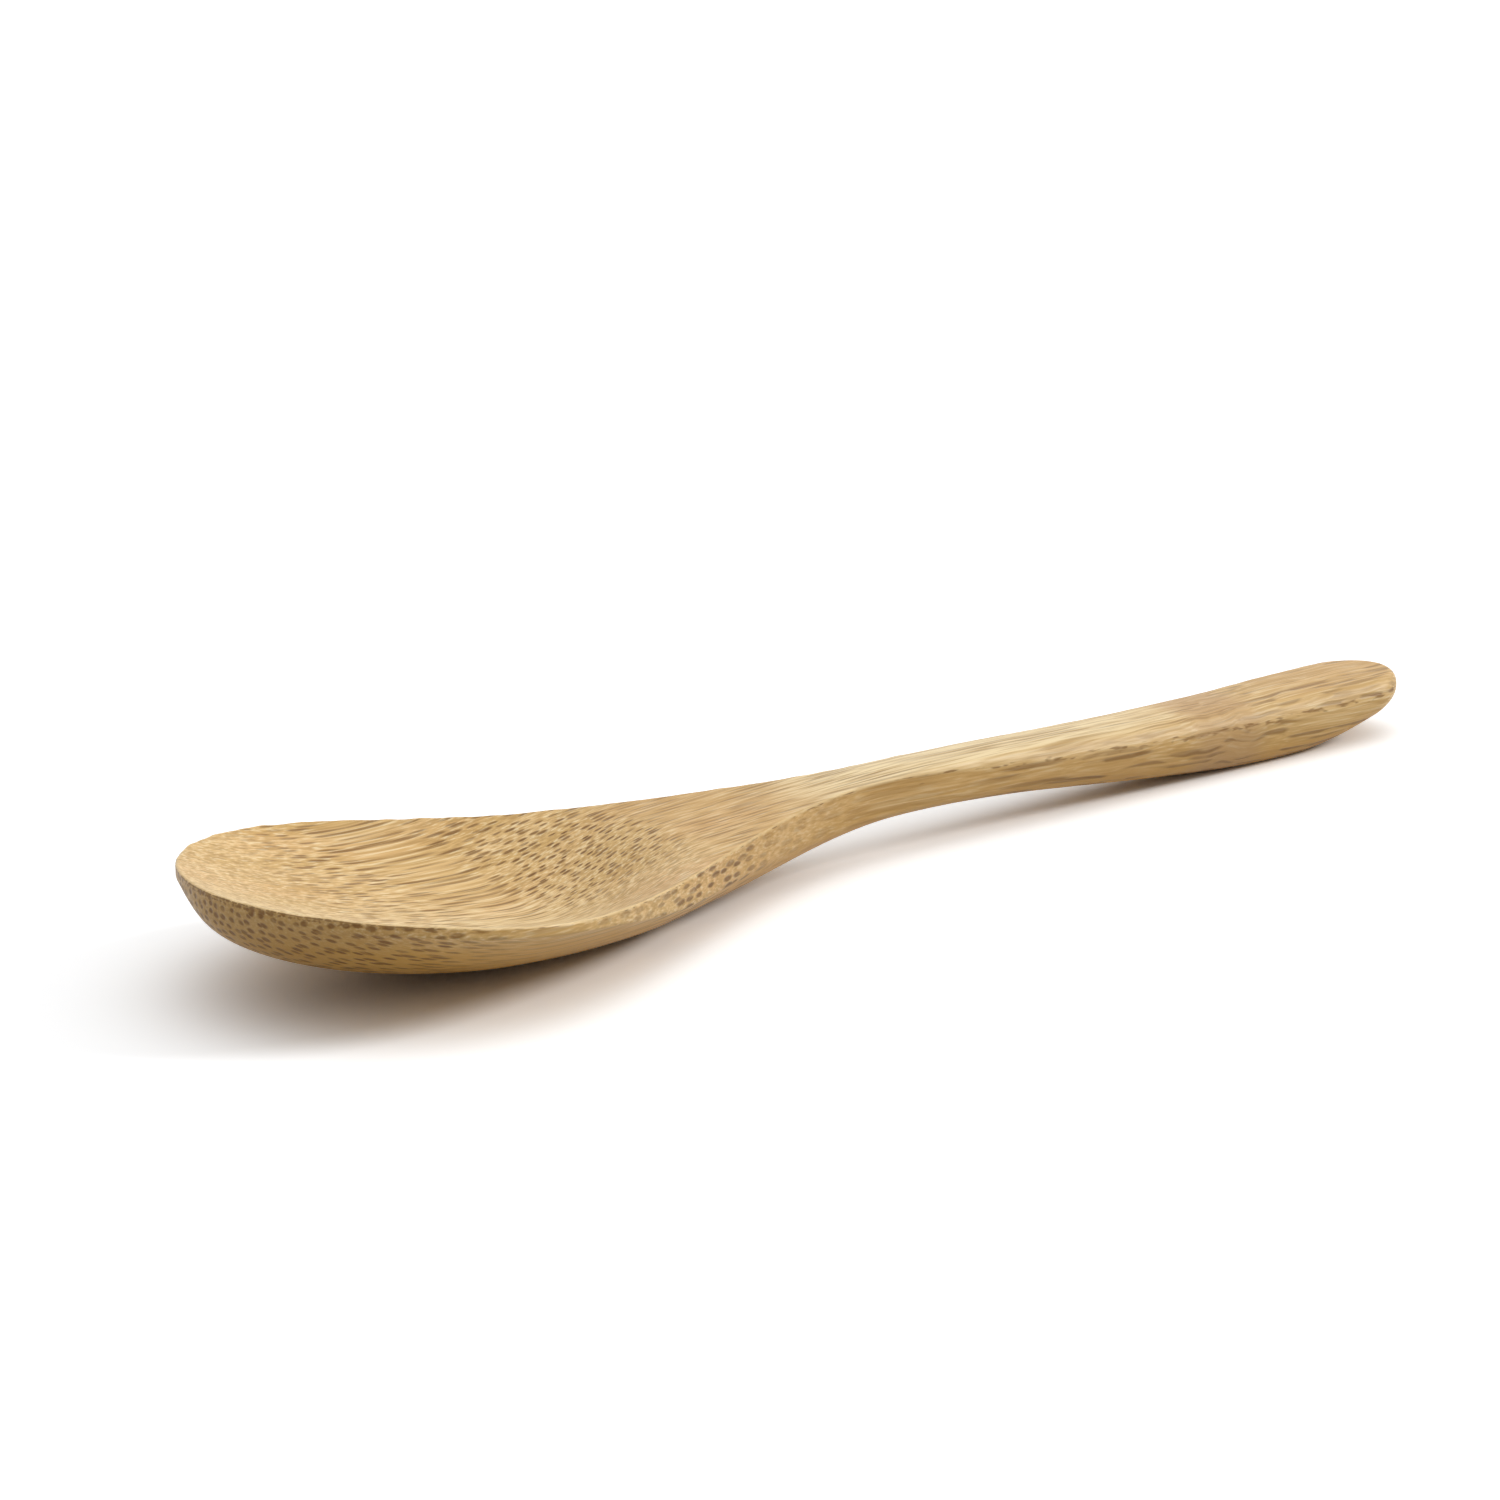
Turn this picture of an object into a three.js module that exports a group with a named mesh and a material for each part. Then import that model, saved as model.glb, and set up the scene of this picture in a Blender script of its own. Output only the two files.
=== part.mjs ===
// A small serving spoon carved from one strip of solid bamboo.
// Millimetres, +Z up. The bowl's tip is at -X, the handle's end at +X, and the spoon lies on z = 0.
// Stations are distances from the tip of the bowl along the spoon, unless a name says "from end".
import * as THREE from 'three';
import { mergeVertices } from 'three/addons/utils/BufferGeometryUtils.js';

// Plan, seen from above
const LENGTH = 150;
const BOWL_WIDTH = 38.4;
const BOWL_WIDEST_AT = 23.4;
const SHOULDER_PULL = 12.3;
const NECK_WIDTH = 5.8;
const NECK_AT = 77.3;
const NECK_FLARE = 18.8;
const HANDLE_WIDTH = 10.9;
const HANDLE_WIDEST_FROM_END = 7.9;
const HANDLE_FLARE = 11.5;
const END_ROUND = 5.8;

// Top edge, seen from the side: heights above the table, and slopes at the two ends
const TIP_HEIGHT = 13.1;
const TIP_FALL = 0.1;
const RIM_LOW_HEIGHT = 8.02;
const RIM_LOW_AT = 44.3;
const NECK_HEIGHT = 8.6;
const NECK_TOP_AT = 70.2;
const GRIP_HEIGHT = 6.6;
const GRIP_FROM_END = 17.8;
const END_HEIGHT = 6.6;
const END_RISE = 0.04;

// Hollow of the bowl, and the slight crown of the handle beyond the flat neck
const FLOOR_THICKNESS = 3.6;
const HOLLOW_DEEPEST_AT = 33;
const HOLLOW_END_AT = 52.5;
const HOLLOW_ENTRY_SLOPE = 0.42;
const CROWN = 0.4;
const CROWN_FROM = 66;
const CROWN_FULL_AT = 84;

// Underside along the middle line: thickness at the two ends, the rests and the arch between them
const TIP_THICKNESS = 1.7;
const CHIN_PULL = 5.1;
const BELLY_PULL = 27.2;
const BOWL_REST_AT = 43.2;
const ARCH_HEIGHT = 4;
const ARCH_AT = 79.5;
const HANDLE_REST_FROM_END = 17.1;
const TAIL_RUN = 9.7;
const TAIL_PULL = 0.6;
const TAIL_THICKNESS = 1.4;
const REST_FLAT = 0.25;

// Cross-section: rounded top edge, upright side below it, then the belly.
// Squareness flattens the middle of the belly, and fullness (1 parabola, 2 ellipse) fills its corners.
const RIM_RADIUS = 0.35;
const HANDLE_RADIUS = 2;
const HANDLE_ROUND_FROM = 76;
const HANDLE_ROUND_AT = 104;
const EDGE_LIMIT = 0.45;
const RIM_WALL = 0.75;
const NECK_WALL = 2.8;
const NECK_WALL_FROM = 27;
const NECK_WALL_AT = 50;
const HANDLE_WALL = 0.15;
const BOWL_SECTION_TO = 48;
const BOWL_SQUARENESS = 2;
const BOWL_FULLNESS = 0.98;
const HANDLE_SQUARENESS = 3;
const HANDLE_FULLNESS = 2.1;

// Mesh layout: rings run round the spoon, from a line inside the top surface to one inside the belly
const STATIONS = 56;
const TOP_RINGS = 7;
const EDGE_RINGS = 5;
const BELLY_RINGS = 10;
const TIP_INSET = 16;
const END_INSET = 4;
const HALVINGS = 40;
const MERGE_DISTANCE = 1e-4;

const BAMBOO = { color: 0xc7a26c, roughness: 0.55, metalness: 0 };

// Smooth step from 0 at a to 1 at b
function ease(a, b, station) {
  return THREE.MathUtils.smoothstep(station, a, b);
}

// Quarter of an ellipse: 0 at its end, 1 where it has its full width
function quarterRound(share) {
  return Math.sqrt(1 - (1 - share) ** 2);
}

// One curved span of a profile line, from its two ends and the two points that pull on it
function span(from, pullFrom, pullTo, to) {
  const points = [from, pullFrom, pullTo, to].map(([station, value]) => new THREE.Vector2(station, value));
  return new THREE.CubicBezierCurve(...points);
}

// A span with given slopes at its two ends, which pull for a third of its length
function slopedSpan(from, slopeFrom, to, slopeTo) {
  const third = (to[0] - from[0]) / 3;
  const pullFrom = [from[0] + third, from[1] + slopeFrom * third];
  const pullTo = [to[0] - third, to[1] - slopeTo * third];
  return span(from, pullFrom, pullTo, to);
}

// The value of a profile line at a station: the span that holds it, halved until it is met
function readAt(spans, station) {
  const curve = spans.find((candidate) => station <= candidate.v3.x) ?? spans.at(-1);
  let low = 0;
  let high = 1;
  for (let step = 0; step < HALVINGS; step += 1) {
    const middle = (low + high) / 2;
    if (curve.getPoint(middle).x < station) low = middle;
    else high = middle;
  }
  return curve.getPoint(low).y;
}

const handleWidestAt = LENGTH - HANDLE_WIDEST_FROM_END;
const gripAt = LENGTH - GRIP_FROM_END;
const handleRestAt = LENGTH - HANDLE_REST_FROM_END;

// Half width between the bowl's widest point and the round end of the handle
const SIDE_LINE = [
  span(
    [BOWL_WIDEST_AT, BOWL_WIDTH / 2],
    [BOWL_WIDEST_AT + SHOULDER_PULL, BOWL_WIDTH / 2],
    [NECK_AT - NECK_FLARE, NECK_WIDTH / 2],
    [NECK_AT, NECK_WIDTH / 2],
  ),
  span(
    [NECK_AT, NECK_WIDTH / 2],
    [NECK_AT + HANDLE_FLARE, NECK_WIDTH / 2],
    [handleWidestAt - HANDLE_FLARE, HANDLE_WIDTH / 2],
    [handleWidestAt, HANDLE_WIDTH / 2],
  ),
];

// Height of the top edge
const RIM_LINE = [
  slopedSpan([0, TIP_HEIGHT], -TIP_FALL, [RIM_LOW_AT, RIM_LOW_HEIGHT], 0),
  slopedSpan([RIM_LOW_AT, RIM_LOW_HEIGHT], 0, [NECK_TOP_AT, NECK_HEIGHT], 0),
  slopedSpan([NECK_TOP_AT, NECK_HEIGHT], 0, [gripAt, GRIP_HEIGHT], 0),
  slopedSpan([gripAt, GRIP_HEIGHT], 0, [LENGTH, END_HEIGHT], END_RISE),
];

// Height of the underside along the middle line, dipping below the table where it is sanded flat
const KEEL_LINE = [
  span(
    [0, TIP_HEIGHT - TIP_THICKNESS],
    [0, TIP_HEIGHT - TIP_THICKNESS - CHIN_PULL],
    [BOWL_REST_AT - BELLY_PULL, -REST_FLAT],
    [BOWL_REST_AT, -REST_FLAT],
  ),
  slopedSpan([BOWL_REST_AT, -REST_FLAT], 0, [ARCH_AT, ARCH_HEIGHT], 0),
  slopedSpan([ARCH_AT, ARCH_HEIGHT], 0, [handleRestAt, -REST_FLAT], 0),
  span(
    [handleRestAt, -REST_FLAT],
    [handleRestAt + TAIL_RUN, -REST_FLAT],
    [LENGTH, END_HEIGHT - TAIL_THICKNESS - TAIL_PULL],
    [LENGTH, END_HEIGHT - TAIL_THICKNESS],
  ),
];

function rimHeight(station) {
  return readAt(RIM_LINE, station);
}

function keelHeight(station) {
  return readAt(KEEL_LINE, station);
}

// Depth of the hollow below the top edge, along the middle line
const hollowDepth = rimHeight(HOLLOW_DEEPEST_AT) - keelHeight(HOLLOW_DEEPEST_AT) - FLOOR_THICKNESS;
const HOLLOW_LINE = [
  slopedSpan([0, 0], HOLLOW_ENTRY_SLOPE, [HOLLOW_DEEPEST_AT, hollowDepth], 0),
  slopedSpan([HOLLOW_DEEPEST_AT, hollowDepth], 0, [HOLLOW_END_AT, 0], 0),
];

function halfWidth(station) {
  if (station < BOWL_WIDEST_AT) return (BOWL_WIDTH / 2) * quarterRound(station / BOWL_WIDEST_AT);
  const fromEnd = LENGTH - station;
  const round = fromEnd < END_ROUND ? quarterRound(fromEnd / END_ROUND) : 1;
  return round * (station < handleWidestAt ? readAt(SIDE_LINE, station) : HANDLE_WIDTH / 2);
}

// Radius of the rounded top edge, kept within its share of the wood below it
function edgeRadius(station) {
  const handleShare = ease(HANDLE_ROUND_FROM, HANDLE_ROUND_AT, station);
  const radius = THREE.MathUtils.lerp(RIM_RADIUS, HANDLE_RADIUS, handleShare);
  return Math.min(radius, EDGE_LIMIT * (rimHeight(station) - keelHeight(station)));
}

function sideWall(station) {
  const atNeck = THREE.MathUtils.lerp(RIM_WALL, NECK_WALL, ease(NECK_WALL_FROM, NECK_WALL_AT, station));
  return THREE.MathUtils.lerp(atNeck, HANDLE_WALL, ease(HANDLE_ROUND_FROM, HANDLE_ROUND_AT, station));
}

// How far out a point lies between the middle line, 0, and the side, 1
function shareOut(station, offset) {
  const half = halfWidth(station);
  return half > 0 ? Math.min(offset / half, 1) : 1;
}

// Top surface: dished in the bowl, flat on the neck, and slightly crowned on the handle up to its round end
function topHeight(station, offset) {
  const hollow = station < HOLLOW_END_AT ? readAt(HOLLOW_LINE, station) : 0;
  const crownShare = ease(CROWN_FROM, CROWN_FULL_AT, station) - ease(handleWidestAt, LENGTH, station);
  return rimHeight(station) + (CROWN * crownShare - hollow) * (1 - shareOut(station, offset) ** 2);
}

// Underside: from the foot of the upright side down to the middle line, never below the table
function bellyHeight(station, offset) {
  const handleShare = ease(BOWL_SECTION_TO, NECK_AT, station);
  const squareness = THREE.MathUtils.lerp(BOWL_SQUARENESS, HANDLE_SQUARENESS, handleShare);
  const fullness = THREE.MathUtils.lerp(BOWL_FULLNESS, HANDLE_FULLNESS, handleShare);
  const keel = keelHeight(station);
  const foot = rimHeight(station) - edgeRadius(station) - sideWall(station);
  const lift = 1 - (1 - shareOut(station, offset) ** squareness) ** (1 / fullness);
  return Math.max(keel + (foot - keel) * lift, 0);
}

// The outline of the spoon, with for each point the point on the middle line that its rings shrink to
function outlinePoint(index) {
  const station = (LENGTH * (1 - Math.cos((Math.PI * index) / STATIONS))) / 2;
  const offset = halfWidth(station);
  const inner = TIP_INSET + (station * (LENGTH - TIP_INSET - END_INSET)) / LENGTH;
  const reach = Math.hypot(station - inner, offset);
  return { station, offset, inner, reach };
}

// A point at a share of the way from the middle line to the outline
function between(point, share) {
  const station = point.inner + share * (point.station - point.inner);
  return { station, offset: share * point.offset };
}

function topPoint(point, ring) {
  const shareAtEdge = 1 - edgeRadius(point.station) / point.reach;
  const place = between(point, (shareAtEdge * ring) / TOP_RINGS);
  return { ...place, height: topHeight(place.station, place.offset) };
}

function edgePoint(point, ring) {
  const radius = edgeRadius(point.station);
  const angle = (Math.PI / 2) * (ring / EDGE_RINGS);
  const place = between(point, 1 - (radius / point.reach) * (1 - Math.sin(angle)));
  return { ...place, height: topHeight(place.station, place.offset) - radius * (1 - Math.cos(angle)) };
}

function bellyPoint(point, ring) {
  const place = between(point, Math.cos((Math.PI / 2) * (ring / BELLY_RINGS)));
  return { ...place, height: bellyHeight(place.station, place.offset) };
}

// All rings in order, each as the function that places its points
function ringList() {
  const rings = [];
  for (let ring = 0; ring <= TOP_RINGS; ring += 1) rings.push((point) => topPoint(point, ring));
  for (let ring = 1; ring <= EDGE_RINGS; ring += 1) rings.push((point) => edgePoint(point, ring));
  for (let ring = 0; ring <= BELLY_RINGS; ring += 1) rings.push((point) => bellyPoint(point, ring));
  return rings;
}

// One closed skin: each ring goes out along the left side of the spoon and back along the right side
function spoonGeometry() {
  const outline = Array.from({ length: STATIONS + 1 }, (_, index) => outlinePoint(index));
  const positions = [];
  const rings = ringList();
  for (const place of rings) {
    const side = outline.map(place);
    for (const { station, offset, height } of side) positions.push(station - LENGTH / 2, offset, height);
    for (const { station, offset, height } of side.slice(1, -1).reverse()) {
      positions.push(station - LENGTH / 2, -offset, height);
    }
  }
  const around = 2 * STATIONS;
  const indices = [];
  for (let ring = 0; ring < rings.length - 1; ring += 1) {
    for (let index = 0; index < around; index += 1) {
      const next = (index + 1) % around;
      const a = ring * around + index;
      const b = ring * around + next;
      const c = a + around;
      const d = b + around;
      indices.push(a, b, c, b, d, c);
    }
  }
  const geometry = new THREE.BufferGeometry();
  geometry.setAttribute('position', new THREE.Float32BufferAttribute(positions, 3));
  geometry.setIndex(indices);
  const merged = mergeVertices(geometry, MERGE_DISTANCE);
  merged.computeVertexNormals();
  return merged;
}

const spoon = new THREE.Mesh(spoonGeometry(), new THREE.MeshStandardMaterial(BAMBOO));
spoon.name = 'bamboo_spoon';

const servingSpoon = new THREE.Group();
servingSpoon.add(spoon);

export default servingSpoon;
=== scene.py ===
import math

import bmesh
import bpy
import numpy as np
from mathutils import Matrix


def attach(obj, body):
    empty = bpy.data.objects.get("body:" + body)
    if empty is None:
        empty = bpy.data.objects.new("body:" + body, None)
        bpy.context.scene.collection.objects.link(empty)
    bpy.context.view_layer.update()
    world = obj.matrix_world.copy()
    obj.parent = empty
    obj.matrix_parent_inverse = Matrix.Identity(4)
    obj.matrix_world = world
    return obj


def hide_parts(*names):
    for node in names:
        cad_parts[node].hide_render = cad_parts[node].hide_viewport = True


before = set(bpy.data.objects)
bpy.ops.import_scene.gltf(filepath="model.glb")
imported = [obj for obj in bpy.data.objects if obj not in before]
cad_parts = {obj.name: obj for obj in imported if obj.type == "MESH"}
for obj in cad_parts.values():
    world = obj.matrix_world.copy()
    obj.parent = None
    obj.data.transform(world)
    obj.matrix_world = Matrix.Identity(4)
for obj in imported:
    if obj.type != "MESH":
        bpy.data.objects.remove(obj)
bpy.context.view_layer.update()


# Camera
# A long lens stands at the bowl's end of the spoon and looks down on it a little, as in the photograph.
# Its place was worked out from the two rims of the bowl, so it needs no shift.
MM = 0.001
CAMERA_PLACE = (-274.7 * MM, -317.7 * MM, 139.6 * MM)
CAMERA_HEADING = math.radians(-39.45)
CAMERA_DIP = math.radians(17)
LEVEL_VIEW = math.radians(90)
LENS_LENGTH_MM = 108
SENSOR_WIDTH_MM = 36

scene = bpy.context.scene
scene.view_settings.view_transform = "Standard"

camera_lens = bpy.data.cameras.new("photograph_camera")
camera_lens.lens = LENS_LENGTH_MM
camera_lens.sensor_width = SENSOR_WIDTH_MM
camera = bpy.data.objects.new("photograph_camera", camera_lens)
camera.location = CAMERA_PLACE
camera.rotation_euler = (LEVEL_VIEW - CAMERA_DIP, 0, CAMERA_HEADING)
scene.collection.objects.link(camera)
scene.camera = camera


# White table and studio light
# The spoon lies on a matt white table top, in a white room that is brightest overhead.
# One softbox, low at the camera's right, lights the bowl's inside and leaves the tip's outer side in shade.
TABLE_REACH = 4000 * MM
TABLE_GAP = 0.01 * MM
TABLE_WHITE = "#f9fafb"
TABLE_BOUNCE = "#d0d0d0"
TABLE_EXPOSURE = 1.36
SOFTBOX_LIGHT = 0.43
SOFTBOX_TILT = math.radians(60)
SOFTBOX_HEADING = math.radians(58)
SOFTBOX_SPREAD = math.radians(15)
ROOM_LIGHT_OVERHEAD = 1.58
ROOM_LIGHT_FALLOFF = 2
ROOM_WHITE = "#ffffff"

# Sockets of a colour mix: the colour below, the colour above, and what comes out
MIX_BELOW = 6
MIX_ABOVE = 7
MIX_RESULT = 2


def linear(hex_colour):
    """The linear colour of a hex value by the sRGB curve, with full alpha."""
    shares = [int(hex_colour[start:start + 2], 16) / 255 for start in (1, 3, 5)]
    return [s / 12.92 if s <= 0.04045 else ((s + 0.055) / 1.055) ** 2.4 for s in shares] + [1]


def add_node(tree, kind, inputs=None, **settings):
    """Adds a node with its settings. An input takes a value, or a link from another node's output."""
    node = tree.nodes.new(kind)
    for name, value in settings.items():
        setattr(node, name, value)
    for socket, value in (inputs or {}).items():
        if isinstance(value, bpy.types.NodeSocket):
            tree.links.new(value, node.inputs[socket])
        else:
            node.inputs[socket].default_value = value
    return node


def seen_or_mirrored(tree):
    """1 for a ray that shows the surface to the eye, also in a gloss or through glass, else 0."""
    ray = add_node(tree, "ShaderNodeLightPath")
    seen = 0
    for kind in ("Is Camera Ray", "Is Glossy Ray", "Is Transmission Ray"):
        either = add_node(tree, "ShaderNodeMath", {0: seen, 1: ray.outputs[kind]}, operation="MAXIMUM")
        seen = either.outputs[0]
    return seen


def white_table_top():
    """Matt white laminate, exposed past white as in the photograph, which loses a shadow's faint rim."""
    material = bpy.data.materials.new("white_laminate")
    material.use_nodes = True
    tree = material.node_tree
    tree.nodes.clear()
    seen_white = [TABLE_EXPOSURE * share for share in linear(TABLE_WHITE)[:3]] + [1]
    white = add_node(tree, "ShaderNodeMix", {
        0: seen_or_mirrored(tree), MIX_BELOW: linear(TABLE_BOUNCE), MIX_ABOVE: seen_white}, data_type="RGBA")
    paint = add_node(tree, "ShaderNodeBsdfDiffuse", {"Color": white.outputs[MIX_RESULT]})
    add_node(tree, "ShaderNodeOutputMaterial", {"Surface": paint.outputs["BSDF"]})
    return material


def light_room():
    """White walls and ceiling light the spoon, and are plain white where they are seen or mirrored."""
    world = bpy.data.worlds.new("white_room")
    world.use_nodes = True
    tree = world.node_tree
    tree.nodes.clear()
    toward = add_node(tree, "ShaderNodeTexCoord")
    toward = add_node(tree, "ShaderNodeSeparateXYZ", {0: toward.outputs["Generated"]})
    height = add_node(tree, "ShaderNodeMapRange", {"Value": toward.outputs["Z"]})
    height = add_node(tree, "ShaderNodeMath", {
        0: height.outputs[0], 1: ROOM_LIGHT_FALLOFF}, operation="POWER")
    light = add_node(tree, "ShaderNodeMath", {
        0: height.outputs[0], 1: ROOM_LIGHT_OVERHEAD}, operation="MULTIPLY")
    strength = add_node(tree, "ShaderNodeMath", {
        0: light.outputs[0], 1: seen_or_mirrored(tree)}, operation="MAXIMUM")
    walls = add_node(tree, "ShaderNodeBackground", {
        "Color": linear(ROOM_WHITE), "Strength": strength.outputs[0]})
    add_node(tree, "ShaderNodeOutputWorld", {"Surface": walls.outputs["Background"]})
    scene.world = world


light_room()

softbox_lamp = bpy.data.lights.new("softbox", "SUN")
# At a strength of pi a lamp lights white that faces it to full white
softbox_lamp.energy = math.pi * SOFTBOX_LIGHT
softbox_lamp.angle = SOFTBOX_SPREAD
softbox = bpy.data.objects.new("softbox", softbox_lamp)
softbox.rotation_euler = (SOFTBOX_TILT, 0, SOFTBOX_HEADING)
scene.collection.objects.link(softbox)

table_sides = ((-1, -1), (1, -1), (1, 1), (-1, 1))
table_corners = [(x * TABLE_REACH, y * TABLE_REACH, -TABLE_GAP) for x, y in table_sides]
table_mesh = bpy.data.meshes.new("white_table")
table_mesh.from_pydata(table_corners, [], [(0, 1, 2, 3)])
table_mesh.materials.append(white_table_top())
table = bpy.data.objects.new("white_table", table_mesh)
scene.collection.objects.link(table)


# Bamboo spoon
# One strip split from the wall of a thick bamboo stem, carved in one piece, then sanded by hand and oiled.
# The bowl is dished and tips up, the neck is slim and arched, and the handle ends in a thin round tongue.

# Outline from above. Sizes are millimetres, and a station is a distance along the spoon from the bowl's tip.
LENGTH = 150
BOWL_WIDTH = 38.4
BOWL_WIDEST_AT = 23.4
SHOULDER_PULL = 12.3
NECK_WIDTH = 5.8
NECK_AT = 77.3
NECK_FLARE = 18.8
HANDLE_WIDTH = 10.9
HANDLE_WIDEST_AT = LENGTH - 7.9
HANDLE_FLARE = 11.5
END_ROUND = 5.8

# Top edge, seen from the side
TIP_HEIGHT = 13.1
TIP_FALL = 0.1
RIM_LOW_HEIGHT = 8.02
RIM_LOW_AT = 44.3
NECK_HEIGHT = 8.6
NECK_TOP_AT = 70.2
GRIP_HEIGHT = 6.6
GRIP_AT = LENGTH - 17.8
END_HEIGHT = 6.6
END_RISE = 0.04

# Hollow of the bowl and crown of the handle
FLOOR_THICKNESS = 3.6
HOLLOW_DEEPEST_AT = 33
HOLLOW_END_AT = 52.5
HOLLOW_ENTRY_SLOPE = 0.42
CROWN = 0.4
CROWN_FROM = 66
CROWN_FULL_AT = 84

# Underside, which rests on the table below the bowl and near the handle's end
TIP_THICKNESS = 1.7
CHIN_PULL = 5.1
BELLY_PULL = 27.2
BOWL_REST_AT = 43.2
ARCH_HEIGHT = 4
ARCH_AT = 79.5
HANDLE_REST_AT = LENGTH - 17.1
TAIL_RUN = 9.7
TAIL_PULL = 0.6
TAIL_THICKNESS = 1.4
REST_FLAT = 0.25

# Sanded edges, upright sides and the belly's section
RIM_RADIUS = 0.35
HANDLE_RADIUS = 2
HANDLE_ROUND_FROM = 76
HANDLE_ROUND_AT = 104
EDGE_LIMIT = 0.45
RIM_WALL = 0.75
NECK_WALL = 2.8
NECK_WALL_FROM = 27
NECK_WALL_AT = 50
HANDLE_WALL = 0.15
BOWL_SECTION_TO = 48
BOWL_SQUARENESS = 2
BOWL_FULLNESS = 0.98
HANDLE_SQUARENESS = 3
HANDLE_FULLNESS = 2.1

# Steps of the mesh
OUTLINE_STEPS = 380
TOP_RINGS = 36
EDGE_RINGS = 12
WALL_RINGS = 4
BELLY_RINGS = 44
FOOT_SPREAD = 0.7
RINGS_TO_FULL_TAN_SHADE = 10
CURVE_STEPS = 400
TIP_INSET = 16
END_INSET = 4
MERGE_DISTANCE = 0.0005

# Ripple of sanding by hand, and nicks along the edge
SANDING_RIPPLE = 0.08
SANDING_LENGTH = 9
NICK_DEPTH = 0.32
NICK_LENGTH = 2.2

# Where the wood is worn, torn, soaked, pale, tan or golden, and its bundles bold or faint. The near side is
# -Y.
# Some of these are partly painted light: a highlight on the worn edge, sheen on the pale tops, shade on the
# tan lower sides and on the soaked tip.
ROUNDED_EDGE_FADE = 0.7
TORN_AT = 0.8
TORN_BAND = 0.25
TEARS = 0.85
TIP_TEARS = 1.35
TIP_TORN_TO = 6
TIP_WHOLE_FROM = 18
TAN_SHADE_ON_UPPER_SIDE = 0.2
TIP_BOLDNESS = 0.15
TIP_FAINT_TO = 11
STREAKS_FROM = 22
NEAR_FAINTNESS = 0.75
NEAR_FAINT_FROM = 8
NECK_BOLDNESS = 0.65
NECK_FAINT_FROM = 49
NECK_FAINT_TO = 54
END_BOLDNESS = 0.85
END_BOLD_RUN = 16
SHOULDER_FAINTNESS = 0.6
SHOULDER_FAINT_FROM = 12
SHOULDER_FAINT_AT = 22
SHOULDER_FAINT_TO = 36
NECK_SIDE_FAINTNESS = 0.7
NECK_SIDE_FROM = 52
NECK_SIDE_TO = 60
HANDLE_SIDE_FROM = 84
HANDLE_SIDE_TO = 96
TIP_DARKEST_TO = 3
TIP_PLAIN_FROM = 17
GOLD_FROM = 46
GOLD_AT = 56
PALE_NEAR_FROM = 8
PALE_FROM = 60
PALE_AT = 74
PALE_TO = 104
END_GOLD_FROM = 126
END_GOLD_AT = 136


def ease(start, end, station):
    """Smooth step from 0 at start to 1 at end."""
    share = np.clip((station - start) / (end - start), 0, 1)
    return share * share * (3 - 2 * share)


def quarter_round(share):
    """Quarter of an ellipse: 0 at its end, 1 where it has its full width."""
    return np.sqrt(1 - (1 - np.clip(share, 0, 1)) ** 2)


def sloped(start, start_slope, end, end_slope):
    """A curve's span with a given slope at each end, which pulls for a third of its length."""
    third = (end[0] - start[0]) / 3
    pull_start = (start[0] + third, start[1] + start_slope * third)
    pull_end = (end[0] - third, end[1] - end_slope * third)
    return start, pull_start, pull_end, end


def profile(*spans):
    """A smooth line through spans, each with two ends and two points that pull on it, read at a station."""
    t = np.linspace(0, 1, CURVE_STEPS)[:, None]
    weights = ((1 - t) ** 3, 3 * (1 - t) ** 2 * t, 3 * (1 - t) * t ** 2, t ** 3)
    points = np.vstack([sum(w * np.array(p) for w, p in zip(weights, span)) for span in spans])
    return lambda station: np.interp(station, points[:, 0], points[:, 1])


side_line = profile(
    ((BOWL_WIDEST_AT, BOWL_WIDTH / 2), (BOWL_WIDEST_AT + SHOULDER_PULL, BOWL_WIDTH / 2),
     (NECK_AT - NECK_FLARE, NECK_WIDTH / 2), (NECK_AT, NECK_WIDTH / 2)),
    ((NECK_AT, NECK_WIDTH / 2), (NECK_AT + HANDLE_FLARE, NECK_WIDTH / 2),
     (HANDLE_WIDEST_AT - HANDLE_FLARE, HANDLE_WIDTH / 2), (HANDLE_WIDEST_AT, HANDLE_WIDTH / 2)),
)
rim_height = profile(
    sloped((0, TIP_HEIGHT), -TIP_FALL, (RIM_LOW_AT, RIM_LOW_HEIGHT), 0),
    sloped((RIM_LOW_AT, RIM_LOW_HEIGHT), 0, (NECK_TOP_AT, NECK_HEIGHT), 0),
    sloped((NECK_TOP_AT, NECK_HEIGHT), 0, (GRIP_AT, GRIP_HEIGHT), 0),
    sloped((GRIP_AT, GRIP_HEIGHT), 0, (LENGTH, END_HEIGHT), END_RISE),
)
keel_height = profile(
    ((0, TIP_HEIGHT - TIP_THICKNESS), (0, TIP_HEIGHT - TIP_THICKNESS - CHIN_PULL),
     (BOWL_REST_AT - BELLY_PULL, -REST_FLAT), (BOWL_REST_AT, -REST_FLAT)),
    sloped((BOWL_REST_AT, -REST_FLAT), 0, (ARCH_AT, ARCH_HEIGHT), 0),
    sloped((ARCH_AT, ARCH_HEIGHT), 0, (HANDLE_REST_AT, -REST_FLAT), 0),
    ((HANDLE_REST_AT, -REST_FLAT), (HANDLE_REST_AT + TAIL_RUN, -REST_FLAT),
     (LENGTH, END_HEIGHT - TAIL_THICKNESS - TAIL_PULL), (LENGTH, END_HEIGHT - TAIL_THICKNESS)),
)
hollow_bottom = float(rim_height(HOLLOW_DEEPEST_AT) - keel_height(HOLLOW_DEEPEST_AT) - FLOOR_THICKNESS)
hollow_depth = profile(
    sloped((0, 0), HOLLOW_ENTRY_SLOPE, (HOLLOW_DEEPEST_AT, hollow_bottom), 0),
    sloped((HOLLOW_DEEPEST_AT, hollow_bottom), 0, (HOLLOW_END_AT, 0), 0),
)


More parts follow.
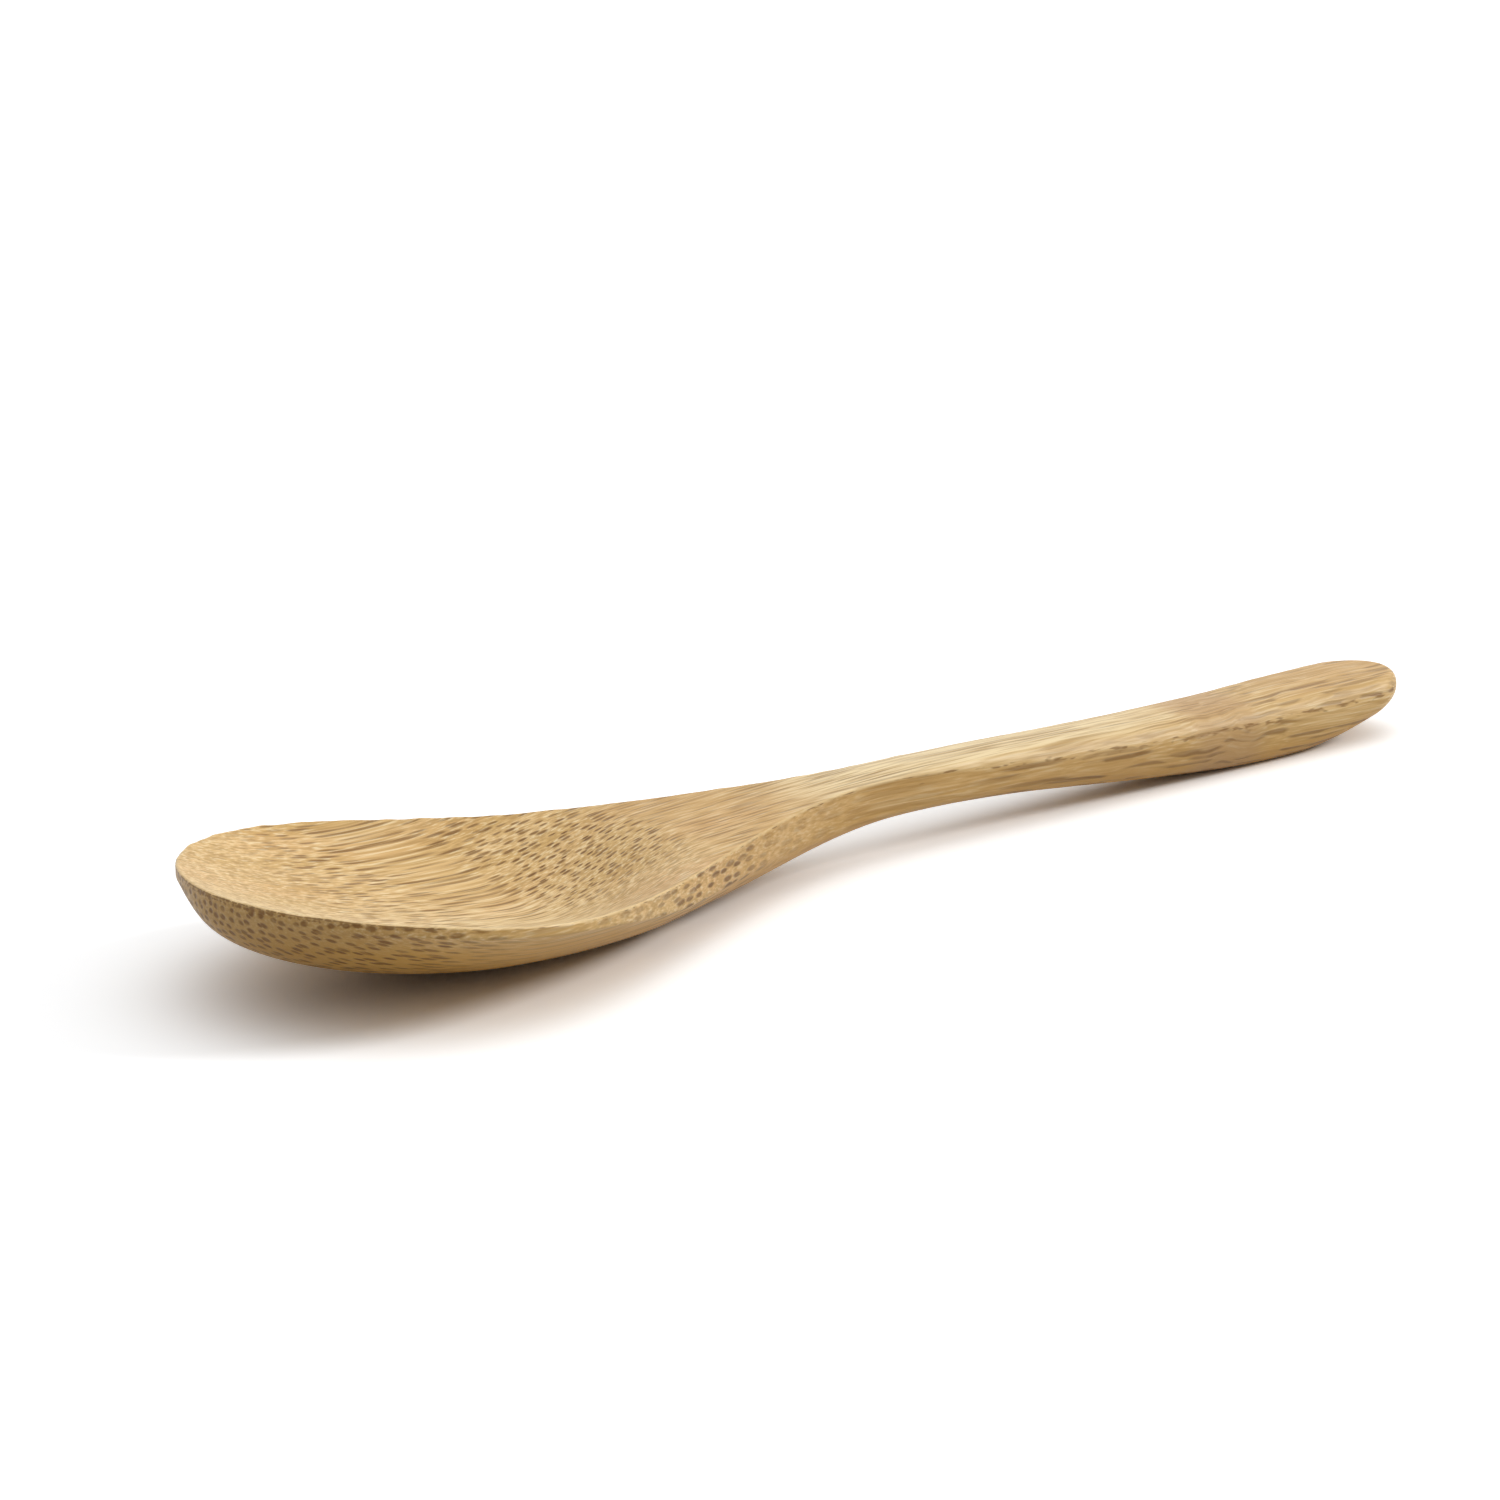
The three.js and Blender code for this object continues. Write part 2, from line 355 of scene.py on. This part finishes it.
def half_width(station):
    """Half the width, from above: a round tip, then the side line, then a round end."""
    tip = BOWL_WIDTH / 2 * quarter_round(station / BOWL_WIDEST_AT)
    rest = side_line(station) * quarter_round((LENGTH - station) / END_ROUND)
    return np.where(station < BOWL_WIDEST_AT, tip, rest)


def edge_radius(station):
    """How round the sanded edge is: crisp on the bowl and the neck, soft on the handle."""
    radius = RIM_RADIUS + (HANDLE_RADIUS - RIM_RADIUS) * ease(HANDLE_ROUND_FROM, HANDLE_ROUND_AT, station)
    return np.minimum(radius, EDGE_LIMIT * (rim_height(station) - keel_height(station)))


def side_wall(station):
    """How far down the upright side runs below the edge: most on the neck, hardly at all on the handle."""
    wall = RIM_WALL + (NECK_WALL - RIM_WALL) * ease(NECK_WALL_FROM, NECK_WALL_AT, station)
    return wall + (HANDLE_WALL - wall) * ease(HANDLE_ROUND_FROM, HANDLE_ROUND_AT, station)


def share_out(station, offset):
    """How far out a point lies between the middle line, 0, and the side, 1."""
    half = half_width(station)
    return np.divide(offset, half, out=np.ones_like(half), where=half > 0).clip(0, 1)


def top_height(station, offset):
    """Dished in the bowl, flat on the neck, slightly crowned on the handle, and level again at its end."""
    crown = CROWN * (ease(CROWN_FROM, CROWN_FULL_AT, station) - ease(HANDLE_WIDEST_AT, LENGTH, station))
    return rim_height(station) + (crown - hollow_depth(station)) * (1 - share_out(station, offset) ** 2)


def belly_height(station, offset):
    """From the foot of the upright side down to the middle line, never below the table."""
    handle_share = ease(BOWL_SECTION_TO, NECK_AT, station)
    squareness = BOWL_SQUARENESS + (HANDLE_SQUARENESS - BOWL_SQUARENESS) * handle_share
    fullness = BOWL_FULLNESS + (HANDLE_FULLNESS - BOWL_FULLNESS) * handle_share
    keel = keel_height(station)
    foot = rim_height(station) - edge_radius(station) - side_wall(station)
    lift = 1 - (1 - share_out(station, offset) ** squareness) ** (1 / fullness)
    return np.maximum(keel + (foot - keel) * lift, 0)


def tears(station):
    """How many fibres the sander tore below the edge: most under the tip."""
    return TEARS + (TIP_TEARS - TEARS) * (1 - ease(TIP_TORN_TO, TIP_WHOLE_FROM, station))


def skin_rings():
    """Rings round the spoon, from inside the top, over its edge, to inside the belly.
    Each has its places, how far it has turned outward, and its marks."""
    outline = LENGTH * (1 - np.cos(np.linspace(0, np.pi, OUTLINE_STEPS + 1))) / 2
    offset = half_width(outline)
    inner = TIP_INSET + outline * (LENGTH - TIP_INSET - END_INSET) / LENGTH
    edge_share = edge_radius(outline) / np.hypot(outline - inner, offset)
    rings = []

    def add_ring(share, height, drop=0, worn_and_highlit=0, torn=0, turned=0, down=0):
        station = inner + share * (outline - inner)
        place = (station, share * offset, height(station, share * offset) - drop)
        rings.append((place, turned, {"worn_and_highlit_edge": worn_and_highlit, "torn_edge": torn, "lower_tan_and_shade": down}))

    for ring in range(TOP_RINGS + 1):
        add_ring((1 - edge_share) * ring / TOP_RINGS, top_height)
    for ring in range(1, EDGE_RINGS + 1):
        turn = math.pi / 2 * ring / EDGE_RINGS
        drop = edge_radius(outline) * (1 - math.cos(turn))
        share = 1 - edge_share * (1 - math.sin(turn))
        turned = ring / EDGE_RINGS
        # The middle of the rounded edge is paler: partly wear, partly a painted highlight where the edge
        # catches the light.
        worn_and_highlit = math.sin(2 * turn) * (1 - ROUNDED_EDGE_FADE * ease(HANDLE_ROUND_FROM, HANDLE_ROUND_AT, outline))
        torn = tears(outline) * math.exp(-((turned - TORN_AT) / TORN_BAND) ** 2)
        add_ring(share, top_height, drop, worn_and_highlit, torn, turned, TAN_SHADE_ON_UPPER_SIDE * turned)
    for ring in range(1, WALL_RINGS):
        drop = edge_radius(outline) + side_wall(outline) * ring / WALL_RINGS
        torn = tears(outline) * (1 - ring / WALL_RINGS)
        add_ring(1, top_height, drop, torn=torn, turned=1, down=TAN_SHADE_ON_UPPER_SIDE)
    for ring in range(BELLY_RINGS + 1):
        share = math.cos(math.pi / 2 * (ring / BELLY_RINGS) ** FOOT_SPREAD)
        # Warmer and darker towards the underside: partly the outer wood's tan, partly painted shade on the
        # faces turned down
        down = TAN_SHADE_ON_UPPER_SIDE + (1 - TAN_SHADE_ON_UPPER_SIDE) * min(1, ring / RINGS_TO_FULL_TAN_SHADE)
        add_ring(share, belly_height, turned=1, down=down)
    return rings


def bundle_boldness(station, offset, turned):
    """How boldly dark bundles show: faint inside the tip and on the bowl's near side, bold outside."""
    inside = TIP_BOLDNESS + (1 - TIP_BOLDNESS) * ease(TIP_FAINT_TO, STREAKS_FROM, station)
    near = ease(0, NEAR_FAINT_FROM, -offset) * (1 - ease(HOLLOW_END_AT, NECK_TOP_AT, station))
    inside = inside * (1 - NEAR_FAINTNESS * near)
    inside = inside + (NECK_BOLDNESS - inside) * ease(NECK_FAINT_FROM, NECK_FAINT_TO, station)
    inside = inside + (END_BOLDNESS - inside) * ease(GRIP_AT - END_BOLD_RUN, GRIP_AT, station)
    neck_side = ease(NECK_SIDE_FROM, NECK_SIDE_TO, station) - ease(HANDLE_SIDE_FROM, HANDLE_SIDE_TO, station)
    shoulder = ease(SHOULDER_FAINT_FROM, SHOULDER_FAINT_AT, station)
    shoulder = shoulder - ease(SHOULDER_FAINT_TO, RIM_LOW_AT, station)
    outside = 1 - NECK_SIDE_FAINTNESS * neck_side - SHOULDER_FAINTNESS * shoulder
    return inside + (outside - inside) * turned


def wood_tones(station, offset, turned):
    """Paler wood on the bowl's near side and on top of the handle, partly painted sheen, and golden wood on
    the neck and at the end.
    """
    near = ease(-PALE_NEAR_FROM, PALE_NEAR_FROM, -offset) * (1 - ease(BOWL_WIDEST_AT, RIM_LOW_AT, station))
    handle = ease(PALE_FROM, PALE_AT, station) - ease(PALE_TO, END_GOLD_FROM, station)
    neck = ease(GOLD_FROM, GOLD_AT, station) - ease(PALE_FROM, PALE_AT, station)
    end = ease(END_GOLD_FROM, END_GOLD_AT, station)
    side = ease(GOLD_FROM, GOLD_AT, station) - ease(PALE_TO, END_GOLD_FROM, station)
    # Only on the upper faces, where the paleness is partly painted sheen
    pale_and_sheen = np.maximum(near, handle) * (1 - turned)
    return pale_and_sheen, np.maximum(neck, end + (side - end) * turned)


def ring_marks(ring, turned, side_marks):
    """All the marks of one ring, which goes out along one side of the spoon and back along the other."""
    along = ring[:, 0] + LENGTH / 2
    pale_and_sheen, golden = wood_tones(along, ring[:, 1], turned)
    marks = {
        "bundle_boldness": bundle_boldness(along, ring[:, 1], turned),
        "coarse_grain": np.maximum(turned, ease(GRIP_AT - END_BOLD_RUN, GRIP_AT, along)),
        # Darker outside the tip: partly end grain soaked with oil, partly painted shade where it faces down
        "soaked_and_shaded_tip": turned * (1 - ease(TIP_DARKEST_TO, TIP_PLAIN_FROM, along)),
        "pale_and_sheen": pale_and_sheen,
        "golden": golden,
    }
    for name, value in side_marks.items():
        side = np.broadcast_to(value, OUTLINE_STEPS + 1)
        marks[name] = np.concatenate([side, side[-2:0:-1]])
    return marks


def ring_faces(rings, around):
    """Four-sided faces between each ring and the next."""
    faces = []
    for ring in range(rings - 1):
        for step in range(around):
            here = ring * around + step
            after = ring * around + (step + 1) % around
            faces.append((here, after, after + around, here + around))
    return faces


def carve_spoon():
    """The carved skin, closed, with its marks as attributes."""
    places = []
    marks = []
    for (station, offset, height), turned, side_marks in skin_rings():
        left = np.stack([station - LENGTH / 2, offset, height], 1)
        right = left[-2:0:-1] * (1, -1, 1)
        ring = np.vstack([left, right])
        places.append(ring)
        marks.append(ring_marks(ring, turned, side_marks))
    mesh = bpy.data.meshes.new("bamboo_spoon_carved")
    mesh.from_pydata(np.vstack(places) * MM, [], ring_faces(len(places), len(places[0])))
    for name in marks[0]:
        values = np.concatenate([ring[name] for ring in marks])
        mesh.attributes.new(name, "FLOAT", "POINT").data.foreach_set("value", values)
    skin = bmesh.new()
    skin.from_mesh(mesh)
    bmesh.ops.remove_doubles(skin, verts=skin.verts, dist=MERGE_DISTANCE * MM)
    bmesh.ops.recalc_face_normals(skin, faces=skin.faces)
    skin.to_mesh(mesh)
    skin.free()
    return mesh


# Bamboo has no rings or rays. Brown bundles of hard fibre run through pale soft wood, all along the stem.
# A cut along them shows long streaks, and a slope that crosses them shows short dashes and dots.
# A single fibre is about 0.02 mm wide, too fine to show, so fibres are drawn about ten times as wide.
FIBRE_DIP = math.radians(2.3)
FIBRE_HEADING = math.radians(1.5)
BUNDLE_SPACING = 0.6
BUNDLE_RADIUS_LEAST = 0.12
BUNDLE_RADIUS_MOST = 0.2
COARSE_BUNDLE_SPACING = 0.86
COARSE_BUNDLE_RADIUS_LEAST = 0.22
COARSE_BUNDLE_RADIUS_MOST = 0.32
COARSE_BUNDLE_SHIFT = 31
BUNDLE_SCATTER = 0.7
BUNDLE_BLEND = 0.1
BUNDLE_CORE = 0.55
BUNDLE_RIND = 1.35

# How the fibres bend. The wave and the growth node are placed by their distance from the spoon's middle.
WANDER = 0.15
WANDER_LENGTH = 26
WANDER_WIDTH = 7
WAVE = 0.3
WAVE_LENGTH = 7
WAVE_WIDTH = 2.5
WAVE_FROM = 0
WAVE_FULL_AT = 35
GROWTH_NODE_AT = 47
GROWTH_NODE_HALF = 2.6
GROWTH_NODE_SOFT = 4
GROWTH_NODE_SWIRL = 0.7
GROWTH_NODE_SWIRL_SIZE = 4
BEND_DETAIL = 1
NOISE_MIDDLE = 0.5

# Patterns drawn out along the fibres: width across, length along, and octaves of finer detail
PATTERN_SIZES = {
    "single_fibre": (0.22, 9, 2),
    "streak": (0.5, 26, 1),
    "tone": (2.6, 45, 2),
    "blush": (6, 22, 1),
    "breaks": (BUNDLE_SPACING, 10, 0),
    "handle_breaks": (COARSE_BUNDLE_SPACING, 4, 0),
    "tearing": (0.35, 1.6, 1),
}

# The least darkness left in a bundle, and the values of the cut or of a pattern between which it changes
OWN_DARKNESS = 0.75
CUT_DARKNESS = 0.8
CUT_FROM = 0.02
CUT_FULL = 0.35
BREAK_DARKNESS = 0.65
BREAK_FROM = 0.3
BREAK_TO = 0.45
HANDLE_BREAK_DARKNESS = 0.2
HANDLE_BREAK_FROM = 0.42
HANDLE_BREAK_TO = 0.52

PALE_PITH_AND_SHEEN = "#f5e0b2"
PITH_PALE = "#e2be84"
PITH_TAN = "#cea763"
BLUSH = "#daa86c"
FIBRE_TAN = "#b38c4e"
TAN_AND_SHADE_BELOW = "#cf9d46"
GOLDEN = "#c09049"
SOAKED_SHADED_END = "#a37a3b"
NODE_TAN = "#bd9463"
BUNDLE_BROWN = "#784f0e"
TORN_BROWN = "#80571f"
WORN_EDGE_HIGHLIGHT = "#efd29c"

# Colours, lowest first: a pattern or mark, where in it the layer starts and is full, its cover, its colour
COLOUR_LAYERS = (
    ("tone", 0.35, 0.7, 0.9, PITH_TAN),
    ("blush", 0.5, 0.8, 0.5, BLUSH),
    # Pale tops: partly paler wood, partly painted sheen
    ("pale_and_sheen", 0, 1, 0.8, PALE_PITH_AND_SHEEN),
    ("streak", 0.45, 0.68, 0.6, FIBRE_TAN),
    ("single_fibre", 0.48, 0.3, 0.7, PALE_PITH_AND_SHEEN),
    ("single_fibre", 0.5, 0.72, 0.8, FIBRE_TAN),
    # Partly the outer wood's tan, partly painted shade on the faces turned down
    ("lower_tan_and_shade", 0, 1, 0.85, TAN_AND_SHADE_BELOW),
    # Partly soaked end grain, partly painted shade
    ("soaked_and_shaded_tip", 0, 1, 0.5, SOAKED_SHADED_END),
    ("golden", 0, 1, 0.35, GOLDEN),
    ("growth_node", 0, 1, 0.6, NODE_TAN),
    ("bundle", 0, 1, 1, BUNDLE_BROWN),
    # Partly wear, partly a painted highlight along the edge
    ("worn_and_highlit_edge", 0, 1, 0.55, WORN_EDGE_HIGHLIGHT),
    ("torn", 0.42, 0.54, 0.75, TORN_BROWN),
)

PORE_DEPTH = 0.05
ROUGHNESS_LEAST = 0.38
ROUGHNESS_MOST = 0.5
OIL_INDEX = 1.42


def growth_node(tree, along):
    """1 in the growth node, a band across the handle, and 0 away from it."""
    distance = add_node(tree, "ShaderNodeMath", {0: along, 1: GROWTH_NODE_AT}, operation="SUBTRACT")
    distance = add_node(tree, "ShaderNodeMath", {0: distance.outputs[0]}, operation="ABSOLUTE")
    band = add_node(tree, "ShaderNodeMapRange", {
        "Value": distance.outputs[0], "From Min": GROWTH_NODE_HALF,
        "From Max": GROWTH_NODE_HALF + GROWTH_NODE_SOFT, "To Min": 1, "To Max": 0,
    }, interpolation_type="SMOOTHSTEP")
    return band.outputs[0]


def bent_fibres(tree, grain, shares):
    """The grain, bent: fibres wander all along, wave on the handle and swirl in the growth node."""
    bends = (
        (WANDER_LENGTH, WANDER_WIDTH, WANDER, 1),
        (WAVE_LENGTH, WAVE_WIDTH, WAVE, shares["handle"]),
        (GROWTH_NODE_SWIRL_SIZE, GROWTH_NODE_SWIRL_SIZE, GROWTH_NODE_SWIRL, shares["growth_node"]),
    )
    fibre = grain
    for length, width, reach, amount in bends:
        spot = add_node(tree, "ShaderNodeVectorMath", {
            0: grain, 1: (1 / length, 1 / width, 1 / width)}, operation="MULTIPLY")
        drift = add_node(tree, "ShaderNodeTexNoise", {
            "Vector": spot.outputs[0], "Scale": 1, "Detail": BEND_DETAIL})
        drift = add_node(tree, "ShaderNodeVectorMath", {
            0: drift.outputs["Color"], 1: (NOISE_MIDDLE,) * 3}, operation="SUBTRACT")
        size = add_node(tree, "ShaderNodeMath", {0: amount, 1: 2 * reach}, operation="MULTIPLY")
        drift = add_node(tree, "ShaderNodeVectorMath", {
            0: drift.outputs[0], "Scale": size.outputs[0]}, operation="SCALE")
        bent = add_node(tree, "ShaderNodeVectorMath", {0: fibre, 1: drift.outputs[0]}, operation="ADD")
        fibre = bent.outputs[0]
    return fibre


def fibre_bundles(tree, fibre):
    """The fine and the coarse bundles, as cells across the fibres, and each bundle's own darkness."""
    axes = add_node(tree, "ShaderNodeSeparateXYZ", {0: fibre})
    across = add_node(tree, "ShaderNodeCombineXYZ", {0: axes.outputs["Y"], 1: axes.outputs["Z"]})
    kinds = (
        (BUNDLE_SPACING, BUNDLE_RADIUS_LEAST, BUNDLE_RADIUS_MOST, 0),
        (COARSE_BUNDLE_SPACING, COARSE_BUNDLE_RADIUS_LEAST, COARSE_BUNDLE_RADIUS_MOST, COARSE_BUNDLE_SHIFT),
    )
    bundles = []
    for spacing, least, most, shift in kinds:
        spot = add_node(tree, "ShaderNodeVectorMath", {
            0: across.outputs[0], 1: (shift, shift, 0)}, operation="ADD")
        cells = add_node(tree, "ShaderNodeTexVoronoi", {
            "Vector": spot.outputs[0], "Scale": 1 / spacing, "Randomness": BUNDLE_SCATTER,
            "Smoothness": BUNDLE_BLEND,
        }, voronoi_dimensions="2D", feature="SMOOTH_F1")
        own = add_node(tree, "ShaderNodeSeparateColor", {0: cells.outputs["Color"]})
        radius = add_node(tree, "ShaderNodeMapRange", {
            "Value": own.outputs[0], "To Min": least / spacing, "To Max": most / spacing})
        core = add_node(tree, "ShaderNodeMath", {0: radius.outputs[0], 1: BUNDLE_CORE}, operation="MULTIPLY")
        rind = add_node(tree, "ShaderNodeMath", {0: radius.outputs[0], 1: BUNDLE_RIND}, operation="MULTIPLY")
        bundle = add_node(tree, "ShaderNodeMapRange", {
            "Value": cells.outputs["Distance"],
            "From Min": core.outputs[0], "From Max": rind.outputs[0], "To Min": 1, "To Max": 0,
        }, interpolation_type="SMOOTHSTEP")
        bundles.append((bundle.outputs[0], own.outputs[1]))
    return bundles


def steep_cut(tree, outward):
    """How steeply the surface cuts the fibres: 0 along them, 1 well across them."""
    heading = (
        math.cos(FIBRE_HEADING) * math.cos(FIBRE_DIP),
        math.sin(FIBRE_HEADING) * math.cos(FIBRE_DIP),
        -math.sin(FIBRE_DIP))
    cut = add_node(tree, "ShaderNodeVectorMath", {0: outward, 1: heading}, operation="DOT_PRODUCT")
    cut = add_node(tree, "ShaderNodeMath", {0: cut.outputs["Value"]}, operation="ABSOLUTE")
    cut = add_node(tree, "ShaderNodeMapRange", {
        "Value": cut.outputs[0], "From Min": CUT_FROM, "From Max": CUT_FULL,
    }, interpolation_type="SMOOTHSTEP")
    return cut.outputs[0]


def bundle_darkness(tree, bundles, shares):
    """How dark a bundle is here: its own darkness, the cut, the breaks along it and the sanding."""
    coarse = shares["coarse_grain"]
    fine = add_node(tree, "ShaderNodeMath", {0: 1, 1: coarse}, operation="SUBTRACT").outputs[0]
    broken = add_node(tree, "ShaderNodeMapRange", {
        "Value": shares["handle"], "To Min": 1, "To Max": HANDLE_BREAK_DARKNESS}).outputs[0]
    darkest = 0
    for (dark, own), least_broken, kind_share in ((bundles[0], 1, fine), (bundles[1], broken, coarse)):
        for share, start, full, least in (
                (own, 0, 1, OWN_DARKNESS), (shares["cut"], 0, 1, CUT_DARKNESS),
                (shares["breaks"], BREAK_FROM, BREAK_TO, BREAK_DARKNESS),
                (shares["handle_breaks"], HANDLE_BREAK_FROM, HANDLE_BREAK_TO, least_broken),
                (shares["bundle_boldness"], 0, 1, 0), (kind_share, 0, 1, 0)):
            part = add_node(tree, "ShaderNodeMapRange", {
                "Value": share, "From Min": start, "From Max": full, "To Min": least})
            darker = add_node(tree, "ShaderNodeMath", {0: dark, 1: part.outputs[0]}, operation="MULTIPLY")
            dark = darker.outputs[0]
        darkest = add_node(tree, "ShaderNodeMath", {0: darkest, 1: dark}, operation="MAXIMUM").outputs[0]
    return darkest


def wood_colour(tree, shares):
    """The pale wood under its layers of colour, up to the bundles, the worn edge with its painted highlight
    and the torn fibres.
    """
    wood = linear(PITH_PALE)
    for name, start, full, cover, colour in COLOUR_LAYERS:
        amount = add_node(tree, "ShaderNodeMapRange", {
            "Value": shares[name], "From Min": start, "From Max": full, "To Max": cover})
        layered = add_node(tree, "ShaderNodeMix", {
            0: amount.outputs[0], MIX_BELOW: wood, MIX_ABOVE: linear(colour)}, data_type="RGBA")
        wood = layered.outputs[MIX_RESULT]
    return wood


def solid_bamboo():
    """Solid bamboo, sanded and oiled: satin, with dark fibre bundles in pale wood."""
    material = bpy.data.materials.new("solid_bamboo")
    material.use_nodes = True
    tree = material.node_tree
    tree.nodes.clear()

    # How much there is of each thing at a point, by its name
    shares = {}

    # Millimetres in the grain's own frame: X along the fibres, Y and Z across them
    place = add_node(tree, "ShaderNodeTexCoord")
    grain = add_node(tree, "ShaderNodeMapping", {
        "Vector": place.outputs["Object"],
        "Rotation": (0, FIBRE_DIP, FIBRE_HEADING),
        "Scale": (MM, MM, MM),
    }, vector_type="TEXTURE").outputs[0]
    along = add_node(tree, "ShaderNodeSeparateXYZ", {0: grain}).outputs["X"]
    shares["growth_node"] = growth_node(tree, along)
    shares["handle"] = add_node(tree, "ShaderNodeMapRange", {
        "Value": along, "From Min": WAVE_FROM, "From Max": WAVE_FULL_AT,
    }, interpolation_type="SMOOTHSTEP").outputs[0]
    fibre = bent_fibres(tree, grain, shares)

    # Patterns in the wood, and the marks that the carving left on the mesh
    for name, (width, length, detail) in PATTERN_SIZES.items():
        stretched = add_node(tree, "ShaderNodeVectorMath", {
            0: fibre, 1: (1 / length, 1 / width, 1 / width)}, operation="MULTIPLY")
        noise = add_node(tree, "ShaderNodeTexNoise", {
            "Vector": stretched.outputs[0], "Scale": 1, "Detail": detail})
        shares[name] = noise.outputs["Fac"]
    for name in (
            "bundle_boldness", "coarse_grain", "soaked_and_shaded_tip", "pale_and_sheen", "golden", "worn_and_highlit_edge", "torn_edge",
            "lower_tan_and_shade"):
        shares[name] = add_node(tree, "ShaderNodeAttribute", attribute_name=name).outputs["Fac"]
    shares["torn"] = add_node(tree, "ShaderNodeMath", {
        0: shares["torn_edge"], 1: shares["tearing"]}, operation="MULTIPLY").outputs[0]
    shares["cut"] = steep_cut(tree, place.outputs["Normal"])
    shares["bundle"] = bundle_darkness(tree, fibre_bundles(tree, fibre), shares)

    # Satin: the oil leaves a low gloss, and bundles and fibres lie a little lower after sanding
    roughness = add_node(tree, "ShaderNodeMapRange", {
        "Value": shares["single_fibre"], "To Min": ROUGHNESS_LEAST, "To Max": ROUGHNESS_MOST})
    pores = add_node(tree, "ShaderNodeMath", {
        0: shares["bundle"], 1: shares["single_fibre"]}, operation="ADD")
    relief = add_node(tree, "ShaderNodeBump", {
        "Height": pores.outputs[0], "Distance": PORE_DEPTH * MM}, invert=True)
    surface = add_node(tree, "ShaderNodeBsdfPrincipled", {
        "Base Color": wood_colour(tree, shares), "Roughness": roughness.outputs[0],
        "Normal": relief.outputs[0], "IOR": OIL_INDEX})
    add_node(tree, "ShaderNodeOutputMaterial", {"Surface": surface.outputs["BSDF"]})
    return material


def hand_sanding():
    """A geometry tree: the ripple of sanding by hand, small nicks along the worn edge, and the material."""
    tree = bpy.data.node_groups.new("hand_sanding", "GeometryNodeTree")
    for name, kind in (
            ("Spoon", "NodeSocketGeometry"), ("Ripple height", "NodeSocketFloat"),
            ("Ripple length", "NodeSocketFloat"), ("Nick depth", "NodeSocketFloat"),
            ("Nick length", "NodeSocketFloat"), ("Bamboo", "NodeSocketMaterial")):
        tree.interface.new_socket(name, in_out="INPUT", socket_type=kind)
    tree.interface.new_socket("Spoon", in_out="OUTPUT", socket_type="NodeSocketGeometry")
    given = add_node(tree, "NodeGroupInput").outputs
    worn = add_node(tree, "GeometryNodeInputNamedAttribute", {"Name": "worn_and_highlit_edge"}, data_type="FLOAT")
    rise = 0
    for length, height, share in (
            ("Ripple length", "Ripple height", 1), ("Nick length", "Nick depth", worn.outputs[0])):
        per_metre = add_node(tree, "ShaderNodeMath", {0: 1, 1: given[length]}, operation="DIVIDE")
        bump = add_node(tree, "ShaderNodeTexNoise", {"Scale": per_metre.outputs[0], "Detail": 0})
        bump = add_node(tree, "ShaderNodeMath", {
            0: bump.outputs["Fac"], 1: NOISE_MIDDLE}, operation="SUBTRACT")
        bump = add_node(tree, "ShaderNodeMath", {0: bump.outputs[0], 1: given[height]}, operation="MULTIPLY")
        rise = add_node(tree, "ShaderNodeMath", {
            0: bump.outputs[0], 1: share, 2: rise}, operation="MULTIPLY_ADD").outputs[0]
    outward = add_node(tree, "GeometryNodeInputNormal")
    push = add_node(tree, "ShaderNodeVectorMath", {0: outward.outputs[0], "Scale": rise}, operation="SCALE")
    moved = add_node(tree, "GeometryNodeSetPosition", {"Geometry": given["Spoon"], "Offset": push.outputs[0]})
    smooth = add_node(tree, "GeometryNodeSetShadeSmooth", {0: moved.outputs[0]})
    real = add_node(tree, "GeometryNodeRealizeInstances", {0: smooth.outputs[0]})
    finished = add_node(tree, "GeometryNodeSetMaterial", {
        "Geometry": real.outputs[0], "Material": given["Bamboo"]})
    add_node(tree, "NodeGroupOutput", {0: finished.outputs[0]})
    return tree


def sanded(mesh, material):
    """The carved mesh after the sanding tree, as a plain mesh."""
    blank = bpy.data.objects.new("spoon_blank", mesh)
    scene.collection.objects.link(blank)
    tree = hand_sanding()
    modifier = blank.modifiers.new("hand_sanding", "NODES")
    modifier.node_group = tree
    values = {
        "Ripple height": SANDING_RIPPLE * MM, "Ripple length": SANDING_LENGTH * MM,
        "Nick depth": NICK_DEPTH * MM, "Nick length": NICK_LENGTH * MM, "Bamboo": material}
    for name, value in values.items():
        modifier[tree.interface.items_tree[name].identifier] = value
    evaluated = blank.evaluated_get(bpy.context.evaluated_depsgraph_get())
    finished = bpy.data.meshes.new_from_object(evaluated)
    bpy.data.objects.remove(blank)
    return finished


spoon = bpy.data.objects.new("carved_spoon", sanded(carve_spoon(), solid_bamboo()))
scene.collection.objects.link(spoon)
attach(spoon, "root")
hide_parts("bamboo_spoon")
